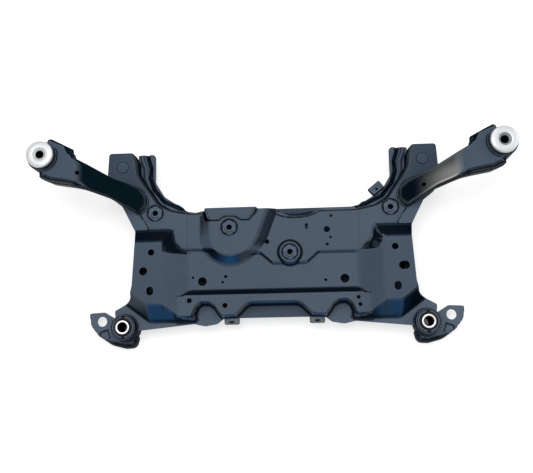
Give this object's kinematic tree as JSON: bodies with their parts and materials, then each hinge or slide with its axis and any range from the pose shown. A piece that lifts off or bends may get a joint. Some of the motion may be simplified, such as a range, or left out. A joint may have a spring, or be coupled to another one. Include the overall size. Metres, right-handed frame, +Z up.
{
  "type": "car front subframe",
  "caption": "Pressed steel front subframe with raised arms, rubber body mounts, control arm ears and threaded seats for the steering rack and stabiliser bar",
  "frame": {"origin": "centre of the underside of the overall box", "axes": "X across the car, +Y to the front of the car where the arms are, +Z up"},
  "size_m": [0.938, 0.3999, 0.165],
  "materials": {
    "ecoat": "satin black coat",
    "nut": "satin black coat",
    "rubber": "matt",
    "collar": "machined",
    "sleeve": "turned",
    "zinc": "zinc plated"
  },
  "bodies": {
    "root": {"upper_panel": "ecoat", "lower_panel": "ecoat", "front_step": "ecoat", "hose_bracket": "ecoat", "left_upper_side": "ecoat", "left_skirt": "ecoat", "left_ear_base": "ecoat", "left_side_wall": "ecoat", "left_arm_channel": "ecoat", "left_arm_cover": "ecoat", "left_front_tube": "ecoat", "left_rear_tube": "ecoat", "left_rear_bracket": "ecoat", "right_upper_side": "ecoat", "right_skirt": "ecoat", "right_ear_base": "ecoat", "right_side_wall": "ecoat", "right_arm_channel": "ecoat", "right_arm_cover": "ecoat", "right_front_tube": "ecoat", "right_rear_tube": "ecoat", "right_rear_bracket": "ecoat", "rack_nut": "nut", "centre_nut": "nut", "left_bar_nut": "nut", "left_pivot_nut": "nut", "right_bar_nut": "nut", "right_pivot_nut": "nut", "left_front_rubber": "rubber", "left_rear_rubber": "rubber", "right_front_rubber": "rubber", "right_rear_rubber": "rubber", "left_front_collar": "collar", "right_front_collar": "collar", "left_rear_sleeve": "sleeve", "right_rear_sleeve": "sleeve", "left_tray_clip": "zinc", "right_tray_clip": "zinc"}
  },
  "joints": []
}
